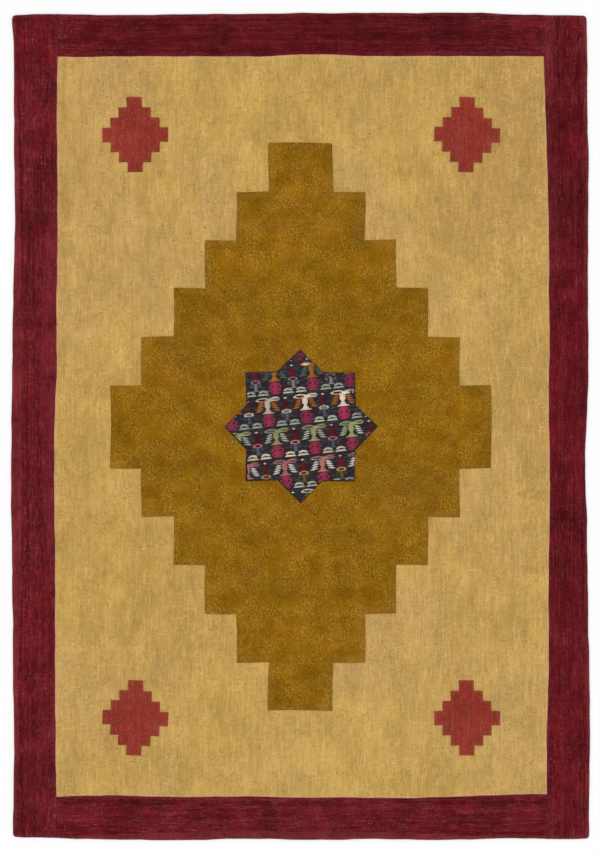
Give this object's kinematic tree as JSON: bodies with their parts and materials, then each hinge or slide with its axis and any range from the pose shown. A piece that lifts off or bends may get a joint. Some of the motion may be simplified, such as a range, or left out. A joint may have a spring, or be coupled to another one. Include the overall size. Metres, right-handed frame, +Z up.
{
  "type": "kilim patchwork rug",
  "caption": "Flat oblong flatweave rug: burgundy border bands sewn round a sand-coloured field, with a mustard stepped medallion, a brocaded star patch and brick-red corner patches.",
  "frame": {"origin": "under the middle of the rug, at the floor", "axes": "X across the rug, Y along its length towards the end shown at the top, +Z up out of the face"},
  "size_m": [1.6126, 2.3048, 0.0076],
  "materials": {
    "sand_weave": "matte sand-coloured wool flatweave",
    "burgundy_weave": "matte burgundy wool flatweave, streaked",
    "mustard_weave": "matte mustard wool flatweave, grainy",
    "brick_weave": "matte brick-red wool flatweave",
    "brocade_weave": "dark plum wool with raised many-coloured brocading"
  },
  "bodies": {
    "root": {"field": "sand_weave", "border_left": "burgundy_weave", "border_right": "burgundy_weave", "border_top": "burgundy_weave", "border_bottom": "burgundy_weave", "medallion": "mustard_weave", "star": "brocade_weave", "corner_top_left": "brick_weave", "corner_top_right": "brick_weave", "corner_bottom_left": "brick_weave", "corner_bottom_right": "brick_weave"}
  },
  "joints": []
}
